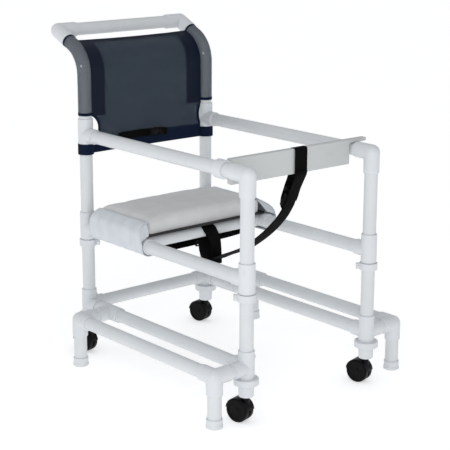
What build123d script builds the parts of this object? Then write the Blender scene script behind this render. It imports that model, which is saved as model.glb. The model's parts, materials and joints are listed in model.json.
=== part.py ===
from build123d import *
import math
import os

# Walker chair of plastic pipe: four posts on swivel casters, a seat that slides on the posts, a mesh
# back sling, outriggers with clear-of-floor anti-tip feet, and a front gate that swings over one arm rail.
# The chair faces -Y, its user's right is -X, and Z = 0 is the floor under the caster wheels.

# ---- driving dimensions, millimetres ----
PIPE_OD = 42.2             # 1 1/4 inch plastic pipe
PIPE_BORE = 35.0
HUB_OD = 50.0              # outside of a moulded socket
SOCKET_DEPTH = 30.0
SOCKET_GAP = 0.1           # radial gap of a pipe in its socket
HUB_BEAD = 1.5             # rounding of a socket's mouth
SLIP_GAP = 0.35            # radial gap of a fitting that slides or turns on a pipe
TEE_REACH = 54.0           # axis to socket mouth of a tee or base fitting
SLIP_REACH = 52.0          # the same on the sliding seat tees
SLIP_LOW = 40.0            # their lower arms, which stand on the clamp collars
ELBOW_REACH = 64.0         # axis to socket mouth of an arm or push bar elbow

POST_X = 255.0             # post axes, each side of the middle
POST_SPAN = 800.0          # front post axis to rear post axis
OUTRIGGER_STEP = 123.0     # post axis to outrigger rail axis
OUTRIGGER_REAR = 121.0     # rear post axis to rear outrigger stub
BASE_Z = 172.5             # axis heights above the floor
SEAT_Z = 441.0
ARM_Z = 751.5
PUSH_Z = 1078.5
PUSH_BACK = 142.0          # push bar axis behind the rear posts
BEND_ANGLE = 65.0          # lean of the top of the back posts from upright
FOOT_CLEARANCE = 15.5      # anti-tip feet above the floor

WHEEL_R = 36.5
WHEEL_WIDTH = 18.0
WHEEL_GAP = 7.0            # between the two wheels of a caster
CASTER_TRAIL = 22.0
CASTER_YAW = 14.0          # direction of the wheel axles as the chair stands
STEM_R = 5.5
AXLE_R = 4.0
RUNNING_GAP = 0.05

FLANGE_R = 38.0
FLANGE_TOP = 31.5          # below the base rail axis
FLANGE_HEIGHT = 20.5
SLEEVE_R = 24.0
SLEEVE_LENGTH = 35.0

SEAT_FRONT = 318.0         # front edge of the seat board, ahead of the rear post axes
SEAT_BACK = 58.0
SEAT_BOARD_X = 258.0
SEAT_BOARD_THICK = 4.5
CUSHION_X = 246.0
CUSHION_BACK = 34.0
CUSHION_FRONT = 316.0
CUSHION_THICK = 51.0
FLAP_THICK = 2.0
FLAP_FRONT = 336.0
FRONT_BAR = 285.0          # seat cross bars, ahead of the rear post axes
REAR_BAR = 115.0
COLLAR_R = 28.5
COLLAR_HEIGHT = 23.0
COLLAR_TOP = SEAT_Z - SLIP_LOW - 1.0
EAR_ANGLE = -40.0          # direction of the rear collars' ears; the front ones point the other way
EAR_MIDDLE = 31.0          # from the post axis
EAR_LENGTH = 17.0
EAR_WIDTH = 15.0
TIE_AHEAD = 258.0          # strap that ties the flaps together under the seat
TIE_WIDTH = 42.0

GATE_BACK = 688.0          # middle of the gate's hinge sleeve, ahead of the rear post axes
GATE_SKEW = 3.8            # the board runs slightly forwards to its free end
GATE_TILT = 0.7            # and slightly up, because its lip lies on the far arm rail
GATE_HEIGHT = 78.0
GATE_THICK = 20.0
GATE_NEAR_END = 25.0       # start of the board, from the hinge axis
GATE_LIP = 300.0           # free end of the lip, from the middle of the chair
GATE_STEP = 231.0          # where the board below the lip ends
GATE_SLEEVE_R = 28.5
GATE_SLEEVE_LENGTH = 36.0

WEBBING = 50.0
WEBBING_THICK = 2.5
# crotch strap from the gate's lower edge to the bar strap: (x, ahead of the rear posts, height)
GATE_STRAP_LINE = [(30.5, 718.5, 701), (33, 700, 665), (34.8, 684, 638)]
CROTCH_LINE = [(51, 303.5, 341), (51, 357, 365), (48, 471, 419), (44, 555, 478), (41, 619, 536), (36.6, 669, 603)]
BUCKLE_MIDDLE = (35.5, 676.0, 620.0)
BUCKLE_SIZE = (56.0, 11.0, 26.0)
BAR_STRAP_X = 13.0         # middle of the loop over the front cross bar
BAR_STRAP_FRONT = [(14, 307, 441), (41, 303, 393), (49, 299, 345), (51, 299, 318)]
BAR_STRAP_BEHIND = [(2, 289, 424), (-3, 289, 392), (18, 292, 345)]

SLING_BOTTOM = 688.0
SLING_BAND_TOP = 723.0     # band round the lower arm of the arm tee
ARM_WINDOW = {-1: 52.0, 1: 30.0}   # cut-outs round the arm tees, from the post axis inwards
SLING_THICK = 2.0
SLING_SLEEVE_GAP = 0.4

# ---- worked out from them ----
PIPE_R = PIPE_OD / 2
HUB_R = HUB_OD / 2
OUTRIGGER_X = POST_X + OUTRIGGER_STEP
PUSH_END = PUSH_BACK + HUB_R
REAR_Y = (POST_SPAN + FLANGE_R - PUSH_END) / 2     # puts the origin under the middle of the whole chair
FRONT_Y = REAR_Y - POST_SPAN
STUB_Y = REAR_Y - OUTRIGGER_REAR
SOCKET_END = SOCKET_DEPTH - 2.0                    # how far a pipe goes in
SIDES = (-1, 1)
SIDE_NAMES = {-1: "right", 1: "left"}


def ahead(distance):
    """Y of a place this far ahead of the rear post axes."""
    return REAR_Y - distance


def rod(start, end, radius):
    """Solid round bar between two points."""
    start, end = Vector(start), Vector(end)
    axis = end - start
    place = Plane(origin=start, z_dir=axis.normalized())
    return place * Cylinder(radius, axis.length, align=(Align.CENTER, Align.CENTER, Align.MIN))


def pipe(start, end):
    """Length of plastic pipe between two points."""
    return rod(start, end, PIPE_R) - rod(start, end, PIPE_BORE / 2)


def fitting(centre, arms, reach=TEE_REACH):
    """Moulded pipe fitting: an arm in each direction, each with a pipe socket.

    Arms in line are one cylinder, and each further line of arms is a hair slimmer, so that no two
    crossing cylinders are the same size. An elbow's outer corner is round."""
    centre = Vector(centre)
    arms = [Vector(arm).normalized() for arm in arms]
    lines = []
    for arm in arms:
        if not any(abs(arm.dot(line)) > 0.9 for line in lines):
            lines.append(arm)
    body = None
    for order, line in enumerate(lines):
        slimmer = 0.25 * order
        both = any(arm.dot(line) < -0.9 for arm in arms)
        tail = reach if both else 0.0
        arm = rod(centre - line * tail, centre + line * reach, HUB_R - slimmer)
        rims = arm.edges().filter_by(GeomType.CIRCLE).sort_by(lambda e: e.center().dot(line))
        arm = fillet(rims if both else rims[-1], HUB_BEAD)
        body = arm if body is None else body + arm
    if len(lines) == len(arms):
        body += Pos(*centre) * Sphere(HUB_R - 0.1)
    for order, line in enumerate(lines):
        both = any(arm.dot(line) < -0.9 for arm in arms)
        tail = reach + 1 if both else 0.0
        body -= rod(centre - line * tail, centre + line * (reach + 1), PIPE_BORE / 2 - 0.25 * order)
    for arm in arms:
        body -= rod(centre + arm * (reach - SOCKET_DEPTH), centre + arm * (reach + 1), PIPE_R + SOCKET_GAP)
    return body


def slip_tee(centre, along, branch, reach, gap, tail):
    """Tee that a pipe passes right through, with one socket to the side. The tail is its arm against along."""
    centre, along, branch = Vector(centre), Vector(along), Vector(branch)
    run = rod(centre - along * tail, centre + along * reach, HUB_R)
    run = fillet(run.edges().filter_by(GeomType.CIRCLE), HUB_BEAD)
    side = rod(centre, centre + branch * reach, HUB_R - 0.25)
    rim = side.edges().filter_by(GeomType.CIRCLE).sort_by(lambda e: e.center().dot(branch))[-1]
    body = run + fillet(rim, HUB_BEAD)
    body -= rod(centre, centre + branch * (reach + 1), PIPE_BORE / 2)
    body -= rod(centre + branch * (reach - SOCKET_DEPTH), centre + branch * (reach + 1), PIPE_R + SOCKET_GAP)
    return body - rod(centre - along * (tail + 1), centre + along * (reach + 1), PIPE_R + gap)


def as_group(shapes):
    """Separate solids kept together as one file."""
    solids = []
    for shape in shapes:
        solids.extend(shape.solids())
    return Compound(children=solids)


def pan_screw(point, outward, head_r=4.0, head=2.2, shank=7.0):
    """Small pan-head screw, its head standing on a wall at the point."""
    outward = Vector(outward).normalized()
    point = Vector(point)
    top = rod(point, point + outward * head, head_r)
    rim = top.edges().sort_by(lambda e: (e.center() - point).dot(outward))[-1]
    return fillet(rim, head * 0.6) + rod(point - outward * shank, point + outward * 0.2, 1.6)


# ---- base: posts, fittings, rails and outriggers ----
def base_parts():
    parts = {}
    up, down, back, front = (0, 0, 1), (0, 0, -1), (0, 1, 0), (0, -1, 0)
    grip = TEE_REACH - SOCKET_END
    elbow_grip = ELBOW_REACH - SOCKET_END

    parts["rear_posts"] = as_group(
        pipe((s * POST_X, REAR_Y, BASE_Z + grip), (s * POST_X, REAR_Y, ARM_Z - grip)) for s in SIDES)
    parts["front_posts"] = as_group(
        pipe((s * POST_X, FRONT_Y, BASE_Z + grip), (s * POST_X, FRONT_Y, ARM_Z - elbow_grip)) for s in SIDES)
    parts["arm_rails"] = as_group(
        pipe((s * POST_X, REAR_Y - grip, ARM_Z), (s * POST_X, FRONT_Y + elbow_grip, ARM_Z)) for s in SIDES)
    parts["base_rails"] = as_group(
        pipe((s * POST_X, REAR_Y - grip, BASE_Z), (s * POST_X, FRONT_Y + grip, BASE_Z)) for s in SIDES)
    parts["rear_cross_tube"] = pipe((-POST_X + grip, REAR_Y, BASE_Z), (POST_X - grip, REAR_Y, BASE_Z))
    parts["rear_arm_tees"] = as_group(
        fitting((s * POST_X, REAR_Y, ARM_Z), (up, down, front)) for s in SIDES)
    parts["front_arm_elbows"] = as_group(
        fitting((s * POST_X, FRONT_Y, ARM_Z), (down, back), ELBOW_REACH) for s in SIDES)
    parts["rear_base_fittings"] = as_group(
        fitting((s * POST_X, REAR_Y, BASE_Z), (up, down, front, (-s, 0, 0))) for s in SIDES)
    parts["front_base_fittings"] = as_group(
        fitting((s * POST_X, FRONT_Y, BASE_Z), (up, down, back, (s, 0, 0))) for s in SIDES)

    parts["outrigger_tees"] = as_group(
        slip_tee((s * POST_X, STUB_Y, BASE_Z), (0, 1, 0), (s, 0, 0), TEE_REACH, SOCKET_GAP, TEE_REACH)
        for s in SIDES)
    parts["outrigger_rails"] = as_group(
        pipe((s * OUTRIGGER_X, STUB_Y - grip, BASE_Z), (s * OUTRIGGER_X, FRONT_Y + grip, BASE_Z)) for s in SIDES)
    ends = [(s, y, into) for s in SIDES for y, into in ((STUB_Y, front), (FRONT_Y, back))]
    parts["outrigger_stubs"] = as_group(
        pipe((s * (POST_X + grip), y, BASE_Z), (s * (OUTRIGGER_X - grip), y, BASE_Z)) for s, y, into in ends)
    parts["outrigger_corners"] = as_group(
        fitting((s * OUTRIGGER_X, y, BASE_Z), (down, into, (-s, 0, 0))) for s, y, into in ends)
    cap_wall = 3.2
    leg_end = FOOT_CLEARANCE + cap_wall
    parts["outrigger_legs"] = as_group(
        pipe((s * OUTRIGGER_X, y, leg_end), (s * OUTRIGGER_X, y, BASE_Z - grip)) for s, y, into in ends)
    parts["foot_caps"] = as_group(
        foot_cap((s * OUTRIGGER_X, y, FOOT_CLEARANCE), cap_wall) for s, y, into in ends)
    return parts


def foot_cap(point, wall, height=29.0, flare=1.4):
    """Cup pushed over the end of a leg, slightly wider at the floor."""
    x, y, z = point
    inner = PIPE_R + SOCKET_GAP
    outer = inner + wall
    with BuildSketch(Plane.XZ) as section:
        with BuildLine():
            Polyline((0, 0), (outer + flare - 3, 0), (outer + flare, 3), (outer + flare, 9),
                     (outer, 13), (outer, height), (inner, height), (inner, wall), (0, wall), (0, 0))
        make_face()
    return Pos(x, y, z) * revolve(section.sketch, Axis.Z)


# ---- caster mounts on the posts, and the screws of the frame ----
def caster_mounts():
    parts = {}
    corners = [(s * POST_X, y) for s in SIDES for y in (REAR_Y, FRONT_Y)]
    top = BASE_Z - FLANGE_TOP
    flange_bore = HUB_R + SOCKET_GAP
    flanges, sleeves = [], []
    for x, y in corners:
        ring = rod((x, y, top - FLANGE_HEIGHT), (x, y, top), FLANGE_R)
        ring = fillet(ring.edges().filter_by(GeomType.CIRCLE), 3.0)
        flanges.append(ring - rod((x, y, top - FLANGE_HEIGHT - 1), (x, y, top + 1), flange_bore))
        mouth = BASE_Z - TEE_REACH
        skirt = Pos(x, y, mouth - SLEEVE_LENGTH) * Cone(
            SLEEVE_R - 1.2, SLEEVE_R, SLEEVE_LENGTH, align=(Align.CENTER, Align.CENTER, Align.MIN))
        spigot = rod((x, y, mouth), (x, y, mouth + SOCKET_END), PIPE_R)
        sleeve = fillet(skirt.edges().filter_by(GeomType.CIRCLE).sort_by(Axis.Z)[0], 1.5) + spigot
        bore_top = mouth + 12
        sleeve -= rod((x, y, mouth - SLEEVE_LENGTH - 1), (x, y, bore_top), STEM_R + RUNNING_GAP)
        sleeves.append(sleeve)
    parts["caster_flanges"] = as_group(flanges)
    parts["caster_sleeves"] = as_group(sleeves)

    screw_z = BASE_Z + TEE_REACH - 19
    screws = [pan_screw((s * POST_X, y, screw_z) + Vector(0.72 * HUB_R, -0.69 * HUB_R, 0), (0.72, -0.69, 0))
              for s in SIDES for y in (REAR_Y, FRONT_Y)]
    skin = PIPE_R + SLING_SLEEVE_GAP + SLING_THICK + 0.2
    outward = Vector(-0.79, -0.61, 0.16).normalized()
    for s in SIDES:
        on_post = Vector(s * POST_X, REAR_Y + 3.4, 976)          # a little way round the post's bend
        screws.append(pan_screw(on_post + outward * skin, outward, 3.5, 1.8, 9.0))
    parts["frame_screws"] = as_group(screws)
    return parts


# ---- back: bent posts, push bar, mesh sling and waist belt ----
def back_line():
    """A back post's centre line: its lean, start, radius and end of the bend, and the straight after it."""
    lean = math.radians(BEND_ANGLE)
    bend_z = 950.0
    rise = PUSH_Z - bend_z
    straight = (PUSH_BACK * math.sin(lean) - rise * (1 - math.cos(lean))) / (
        math.sin(lean) ** 2 - math.cos(lean) * (1 - math.cos(lean)))
    radius = (rise - straight * math.cos(lean)) / math.sin(lean)
    bend_end = (radius * (1 - math.cos(lean)), bend_z + radius * math.sin(lean))
    return lean, bend_z, radius, bend_end, straight


def back_path(x, bottom, top_trim):
    """Centre line of a back post at this x, stopping short of the push bar axis."""
    lean, bend_z, radius, bend_end, straight = back_line()
    end = (PUSH_BACK - top_trim * math.sin(lean), PUSH_Z - top_trim * math.cos(lean))
    first = Line((x, REAR_Y, bottom), (x, REAR_Y, bend_z))
    mid = math.radians(BEND_ANGLE / 2)
    middle = (x, REAR_Y + radius * (1 - math.cos(mid)), bend_z + radius * math.sin(mid))
    bend = ThreePointArc((x, REAR_Y, bend_z), middle, (x, REAR_Y + bend_end[0], bend_end[1]))
    last = Line((x, REAR_Y + bend_end[0], bend_end[1]), (x, REAR_Y + end[0], end[1]))
    return Wire([first, bend, last])


def swept_round(path, start, radius):
    return sweep(Plane(origin=start, z_dir=(0, 0, 1)) * Circle(radius), path=path)


def back_parts():
    parts = {}
    lean = math.radians(BEND_ANGLE)
    elbows = []
    for s in SIDES:
        x = s * POST_X
        bottom = ARM_Z + TEE_REACH - SOCKET_END
        path = back_path(x, bottom, ELBOW_REACH - SOCKET_END)
        start = (x, REAR_Y, bottom)
        tube = swept_round(path, start, PIPE_R) - swept_round(path, start, PIPE_BORE / 2)
        parts["back_post_" + SIDE_NAMES[s]] = tube
        down_post = (0, -math.sin(lean), -math.cos(lean))
        elbows.append(fitting((x, REAR_Y + PUSH_BACK, PUSH_Z), (down_post, (-s, 0, 0)), ELBOW_REACH))
    parts["push_bar_elbows"] = as_group(elbows)
    inner = POST_X - ELBOW_REACH + SOCKET_END
    parts["push_bar"] = pipe((-inner, REAR_Y + PUSH_BACK, PUSH_Z), (inner, REAR_Y + PUSH_BACK, PUSH_Z))
    parts.update(sling_parts())
    belt_z, belt_y = 737.0, REAR_Y - 2 * SLING_THICK - 1.0
    belt = Pos(-25, belt_y, belt_z) * Box(204, 2.4, 24)
    parts["waist_belt"] = belt
    buckle = Pos(30, belt_y - 7.0, belt_z + 4) * Box(62, 10.5, 30)
    parts["waist_belt_buckle"] = fillet(buckle.edges().filter_by(Axis.Y), 6)
    return parts


def sling_parts():
    """Mesh panel between the back posts, with a tube of mesh round each post and a band round each arm tee."""
    inner = PIPE_R + SLING_SLEEVE_GAP
    band_inner = HUB_R + SLING_SLEEVE_GAP
    trim = ELBOW_REACH + 3.0
    tube_bottom = ARM_Z + TEE_REACH + 2.0
    window_height = tube_bottom - SLING_BAND_TOP
    panel = Pos(-POST_X, 0, 0) * extrude(
        back_profile(SLING_BOTTOM, SLING_THICK, trim), 2 * POST_X, dir=(1, 0, 0))
    tubes, bands = [], []
    for s in SIDES:
        x = s * POST_X
        window = Pos(x, REAR_Y, SLING_BAND_TOP + window_height / 2) * Box(2 * ARM_WINDOW[s], 20, window_height)
        panel -= fillet(window.edges().filter_by(Axis.Y), 18)
        start = (x, REAR_Y, tube_bottom)
        tube = swept_round(back_path(x, tube_bottom, trim), start, inner + SLING_THICK)
        panel -= swept_round(back_path(x, tube_bottom, trim - 5), start, inner + SLING_THICK)
        tubes.append(tube - swept_round(back_path(x, tube_bottom, trim - 5), start, inner))
        band_foot, band_head = (x, REAR_Y, SLING_BOTTOM), (x, REAR_Y, SLING_BAND_TOP)
        ring = rod(band_foot, band_head, band_inner + SLING_THICK)
        panel -= rod(band_foot, start, band_inner + SLING_THICK)
        bands.append(ring - rod(band_foot, band_head, band_inner))
    return {"back_sling": panel, "sling_sleeves": as_group(tubes), "sling_post_bands": as_group(bands)}


def back_profile(bottom, thick, trim):
    """Side outline of a sheet that follows the back posts and stops short of the push bar, on the YZ plane."""
    lean, bend_z, radius, bend_end, straight = back_line()
    half = thick / 2
    centre = (REAR_Y + radius, bend_z)

    def on_bend(r, a):
        return (centre[0] - r * math.cos(a), centre[1] + r * math.sin(a))

    def on_top(r):
        run = straight - trim
        y, z = on_bend(r, lean)
        return (y + run * math.sin(lean), z + run * math.cos(lean))

    far, near = radius + half, radius - half
    with BuildSketch(Plane.YZ) as section:
        with BuildLine():
            Line((REAR_Y - half, bottom), (REAR_Y - half, bend_z))
            ThreePointArc((REAR_Y - half, bend_z), on_bend(far, lean / 2), on_bend(far, lean))
            Polyline(on_bend(far, lean), on_top(far), on_top(near), on_bend(near, lean))
            ThreePointArc(on_bend(near, lean), on_bend(near, lean / 2), (REAR_Y + half, bend_z))
            Line((REAR_Y + half, bend_z), (REAR_Y + half, bottom))
            Line((REAR_Y + half, bottom), (REAR_Y - half, bottom))
        make_face()
    return section.sketch


# ---- seat: sliding tees, rails, bars, board, cushion, flaps and straps ----
def seat_parts():
    parts = {}
    grip = SLIP_REACH - SOCKET_END
    corners = [(s, y, into) for s in SIDES for y, into in ((REAR_Y, -1), (FRONT_Y, 1))]
    parts["seat_post_tees"] = as_group(
        slip_tee((s * POST_X, y, SEAT_Z), (0, 0, 1), (0, into, 0), SLIP_REACH, SLIP_GAP, SLIP_LOW)
        for s, y, into in corners)
    parts["clamp_collars"] = as_group(collar(s * POST_X, y) for s, y, into in corners)
    parts["collar_screws"] = as_group(collar_screw(s * POST_X, y) for s, y, into in corners)
    parts["seat_rails"] = as_group(
        pipe((s * POST_X, REAR_Y - grip, SEAT_Z), (s * POST_X, FRONT_Y + grip, SEAT_Z)) for s in SIDES)
    bars = (ahead(FRONT_BAR), ahead(REAR_BAR))
    bar_end = POST_X - TEE_REACH + SOCKET_END
    parts["seat_bar_tees"] = as_group(
        slip_tee((s * POST_X, y, SEAT_Z), (0, 1, 0), (-s, 0, 0), TEE_REACH, SOCKET_GAP, TEE_REACH)
        for s in SIDES for y in bars)
    parts["seat_cross_bars"] = as_group(
        pipe((-bar_end, y, SEAT_Z), (bar_end, y, SEAT_Z)) for y in bars)

    board_z = SEAT_Z + HUB_R + 0.5
    board_deep = SEAT_FRONT - SEAT_BACK
    board = Pos(0, ahead((SEAT_FRONT + SEAT_BACK) / 2), board_z + SEAT_BOARD_THICK / 2) * Box(
        2 * SEAT_BOARD_X, board_deep, SEAT_BOARD_THICK)
    parts["seat_board"] = fillet(board.edges().filter_by(Axis.Z), 12)
    cushion_z = board_z + SEAT_BOARD_THICK + 0.3
    cushion = Pos(0, ahead((CUSHION_FRONT + CUSHION_BACK) / 2), cushion_z + CUSHION_THICK / 2) * Box(
        2 * CUSHION_X, CUSHION_FRONT - CUSHION_BACK, CUSHION_THICK)
    cushion = fillet(cushion.edges().filter_by(Axis.Z), 24)
    parts["seat_cushion"] = fillet(cushion.faces().sort_by(Axis.Z)[-1].edges(), 14)
    parts["seat_flaps"] = as_group(flap(s, cushion_z) for s in SIDES)

    tie_z = SEAT_Z - PIPE_R - FLAP_THICK - 8.4
    tie = Pos(0, ahead(TIE_AHEAD), tie_z) * Box(2 * (POST_X - 26), TIE_WIDTH, WEBBING_THICK)
    parts["flap_tie_strap"] = tie
    parts["bar_strap"] = bar_strap()
    parts["crotch_strap"] = band(CROTCH_LINE)
    return parts


def ear_turn(y):
    return EAR_ANGLE if y > 0 else EAR_ANGLE + 180


def ear_direction(y):
    """Directions out along the ear of the collar at this y, and across it."""
    turn = math.radians(ear_turn(y))
    return Vector(math.cos(turn), math.sin(turn), 0), Vector(-math.sin(turn), math.cos(turn), 0)


def collar(x, y):
    """Split clamp collar under a seat tee, with one ear."""
    middle = COLLAR_TOP - COLLAR_HEIGHT / 2
    out, across = ear_direction(y)
    ring = rod((x, y, COLLAR_TOP - COLLAR_HEIGHT), (x, y, COLLAR_TOP), COLLAR_R)
    ring = fillet(ring.edges().filter_by(GeomType.CIRCLE), 1.5)
    at_ear = Pos(*(Vector(x, y, middle) + out * EAR_MIDDLE)) * Rot(0, 0, ear_turn(y))
    ear = at_ear * Box(EAR_LENGTH, EAR_WIDTH, COLLAR_HEIGHT - 6)
    ring += fillet(ear.edges().filter_by(Axis.Z), 2.5)
    ring -= rod((x, y, COLLAR_TOP - COLLAR_HEIGHT - 1), (x, y, COLLAR_TOP + 1), PIPE_R + SLIP_GAP)
    slot = Pos(*(out * 2)) * at_ear * Box(2 * EAR_LENGTH - 4, 2.5, COLLAR_HEIGHT + 2)
    centre = bolt_centre(x, y)
    return ring - slot - rod(centre - across * EAR_WIDTH, centre + across * EAR_WIDTH, 2.6)


def bolt_centre(x, y):
    return Vector(x, y, COLLAR_TOP - COLLAR_HEIGHT / 2) + ear_direction(y)[0] * (EAR_MIDDLE + 3)


def collar_screw(x, y):
    """Cross screw that closes the collar, with its head and nut on the two faces of the ear."""
    centre = bolt_centre(x, y)
    across = ear_direction(y)[1]
    face, head = EAR_WIDTH / 2, 3.0
    cap = rod(centre + across * face, centre + across * (face + head), 4.2)
    nut = rod(centre - across * (face + head), centre - across * face, 4.4)
    return rod(centre - across * face, centre + across * face, 2.5) + cap + nut


def flap(s, cushion_z):
    """Vinyl side flap: off the cushion's side, outside the seat rail and under it."""
    hang = HUB_R + 0.6
    over_top = cushion_z + CUSHION_THICK - 14
    with BuildSketch(Plane.XZ) as section:
        with BuildLine():
            top_in = (CUSHION_X + 0.6, over_top)
            side = (POST_X + hang, SEAT_Z + 24)
            side_low = (POST_X + hang, SEAT_Z)
            under = (POST_X, SEAT_Z - hang)
            inner_end = (POST_X - 16, SEAT_Z - hang)
            Line(top_in, side)
            Line(side, side_low)
            low = math.radians(45)
            ThreePointArc(side_low, (POST_X + hang * math.cos(low), SEAT_Z - hang * math.sin(low)), under)
            Line(under, inner_end)
            offset_line = [inner_end, (POST_X - 16, SEAT_Z - hang - FLAP_THICK), (POST_X, SEAT_Z - hang - FLAP_THICK)]
            Polyline(*offset_line)
            wide = hang + FLAP_THICK
            ThreePointArc(offset_line[-1], (POST_X + wide * math.cos(low), SEAT_Z - wide * math.sin(low)),
                          (POST_X + wide, SEAT_Z))
            Polyline((POST_X + wide, SEAT_Z), (POST_X + wide, SEAT_Z + 25), (CUSHION_X + 0.6, over_top + 6), top_in)
        make_face()
    sheet = extrude(section.sketch, (FLAP_FRONT - SEAT_BACK) / 2, both=True)
    sheet = Pos(0, ahead((FLAP_FRONT + SEAT_BACK) / 2), 0) * sheet
    return sheet if s > 0 else mirror(sheet, Plane.YZ)


def bar_strap():
    """Webbing looped over the front cross bar, its two ends hanging one before the other."""
    y, r = ahead(FRONT_BAR), PIPE_R + 0.3
    left, right = BAR_STRAP_X + WEBBING / 2, BAR_STRAP_X - WEBBING / 2
    loop = rod((right, y, SEAT_Z), (left, y, SEAT_Z), r + WEBBING_THICK)
    body = loop + band(BAR_STRAP_FRONT) + band(BAR_STRAP_BEHIND)
    return body - rod((right - WEBBING, y, SEAT_Z), (left + WEBBING, y, SEAT_Z), r)


def band(line):
    """Webbing that follows points of (x, ahead, height), its width nearly along X."""
    route = [Vector(x, ahead(a), z) for x, a, z in line]
    body = None
    for start, end in zip(route, route[1:]):
        along = (end - start).normalized()
        across = (Vector(1, 0, 0) - along * along.X).normalized()
        place = Plane(origin=start, x_dir=across, z_dir=along)
        piece = place * Box(WEBBING, WEBBING_THICK, (end - start).length,
                            align=(Align.CENTER, Align.CENTER, Align.MIN))
        fold = rod(end - across * (WEBBING / 2), end + across * (WEBBING / 2), WEBBING_THICK / 2)
        body = piece + fold if body is None else body + piece + fold
    return body


# ---- gate: hinge sleeve, board with a lip, strap and buckle ----
def gate_place(shape):
    """Stand a piece built along +X from the hinge axis in its place on the right arm rail."""
    return Pos(-POST_X, ahead(GATE_BACK), ARM_Z) * Rot(0, -GATE_TILT, -GATE_SKEW) * shape


def gate_parts():
    parts = {}
    low = -51.0
    high = low + GATE_HEIGHT
    step, lip = POST_X + GATE_STEP, POST_X + GATE_LIP
    rest = PIPE_R + 1.2
    with BuildSketch(Plane.XZ) as outline:
        with BuildLine():
            Polyline((GATE_NEAR_END, low), (step, low), (step, rest - 7), (lip, rest - 7), (lip, high),
                     (GATE_NEAR_END, high), (GATE_NEAR_END, low))
        make_face()
        corners = outline.vertices().sort_by(Axis.X)[-4:]
        fillet(corners, 5.0)
    board = extrude(outline.sketch, GATE_THICK / 2, both=True)
    board = gate_place(board)
    axis_y = ahead(GATE_BACK)
    half = GATE_SLEEVE_LENGTH / 2

    def along_rail(radius, length):
        return rod((-POST_X, axis_y - length, ARM_Z), (-POST_X, axis_y + length, ARM_Z), radius)

    sleeve = along_rail(GATE_SLEEVE_R, half)
    sleeve = fillet(sleeve.edges().filter_by(GeomType.CIRCLE), 2.0)
    sleeve -= along_rail(PIPE_R + SLIP_GAP, half + 1)
    far_rail = rod((POST_X, axis_y + 120, ARM_Z), (POST_X, axis_y - 120, ARM_Z), PIPE_R + 0.5)
    parts["gate_board"] = board - along_rail(GATE_SLEEVE_R + 0.2, 60) - far_rail
    parts["gate_sleeve"] = sleeve
    strap_x = POST_X + GATE_STRAP_LINE[0][0]
    gap = 0.3
    outer = Box(WEBBING, GATE_THICK + 2 * (WEBBING_THICK + gap), GATE_HEIGHT + 2 * (WEBBING_THICK + gap))
    inner = Box(WEBBING + 2, GATE_THICK + 2 * gap, GATE_HEIGHT + 2 * gap)
    loop = gate_place(Pos(strap_x, 0, (low + high) / 2) * (outer - inner))
    parts["gate_strap"] = loop + band(GATE_STRAP_LINE)
    x, forward, z = BUCKLE_MIDDLE
    plug = Plane(origin=(x, ahead(forward), z), x_dir=(1, 0, 0), z_dir=(0, 0.42, -0.9)) * Box(*BUCKLE_SIZE)
    parts["crotch_buckle"] = fillet(plug.edges().filter_by(GeomType.LINE).sort_by(SortBy.LENGTH)[-4:], 2.5)
    return parts


# ---- casters: hood with stem and axle, and two wheels ----
def caster_parts(x, y):
    """One twin-wheel caster under a post, with the axle turned to the standing direction."""
    turn = Rot(0, 0, CASTER_YAW)
    centre = Vector(0, CASTER_TRAIL, WHEEL_R)
    middle = WHEEL_GAP / 2
    outer_face = middle + WHEEL_WIDTH

    def along_axle(radius, start, end):
        return rod((start, centre.Y, centre.Z), (end, centre.Y, centre.Z), radius)

    hood_r = WHEEL_R + 2.6
    web = along_axle(hood_r - 6, -middle + 0.6, middle - 0.6)
    fender = along_axle(hood_r, -outer_face + 2, outer_face - 2)
    fender -= along_axle(WHEEL_R + 0.8, -outer_face, outer_face)
    floor_cut = Pos(0, centre.Y, centre.Z - hood_r + 4) * Box(120, 120, 2 * hood_r)
    boss_top = BASE_Z - TEE_REACH - SLEEVE_LENGTH - 1.0
    boss = rod((0, 0, centre.Z + 6), (0, 0, boss_top), 10.5)
    boss -= along_axle(WHEEL_R + 0.8, middle, outer_face)
    boss -= along_axle(WHEEL_R + 0.8, -outer_face, -middle)
    hood = web + (fender - floor_cut) + boss
    hood -= along_axle(AXLE_R, -outer_face, outer_face)
    stem_foot = centre.Z + math.sqrt(WHEEL_R ** 2 - (CASTER_TRAIL - STEM_R) ** 2) + 2.5
    hood -= rod((0, 0, stem_foot), (0, 0, boss_top + 1), STEM_R)
    stem_top = BASE_Z - TEE_REACH + 10
    stem = rod((0, 0, stem_foot), (0, 0, stem_top), STEM_R)
    axle = along_axle(AXLE_R, -outer_face + 5, outer_face - 5)
    wheels = {}
    for name, s in (("right", -1), ("left", 1)):
        tyre = along_axle(WHEEL_R, s * (middle + 0.3), s * outer_face)
        rims = tyre.edges().filter_by(GeomType.CIRCLE).sort_by(Axis.X)
        outer_rim = rims[-1] if s > 0 else rims[0]
        inner_rim = rims[0] if s > 0 else rims[-1]
        tyre = fillet([outer_rim], 5.0)
        tyre -= along_axle(WHEEL_R - 9, s * (outer_face - 1.6), s * (outer_face + 1))
        tyre += along_axle(9.0, s * (outer_face - 2), s * (outer_face - 0.4))
        tyre -= along_axle(AXLE_R + RUNNING_GAP, s * middle, s * (outer_face - 4.9))
        wheels[name] = tyre
    place = Pos(x, y, 0) * turn
    return {"hood": place * hood, "pins": as_group([place * stem, place * axle]),
            "wheel_right": place * wheels["right"], "wheel_left": place * wheels["left"]}


def all_parts():
    parts = {}
    parts.update(base_parts())
    parts.update(caster_mounts())
    parts.update(back_parts())
    parts.update(seat_parts())
    parts.update(gate_parts())
    for end, y in (("rear", REAR_Y), ("front", FRONT_Y)):
        for s in SIDES:
            corner = end + "_" + SIDE_NAMES[s]
            for piece, shape in caster_parts(s * POST_X, y).items():
                parts["caster_" + corner + "_" + piece] = shape
    return parts


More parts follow.
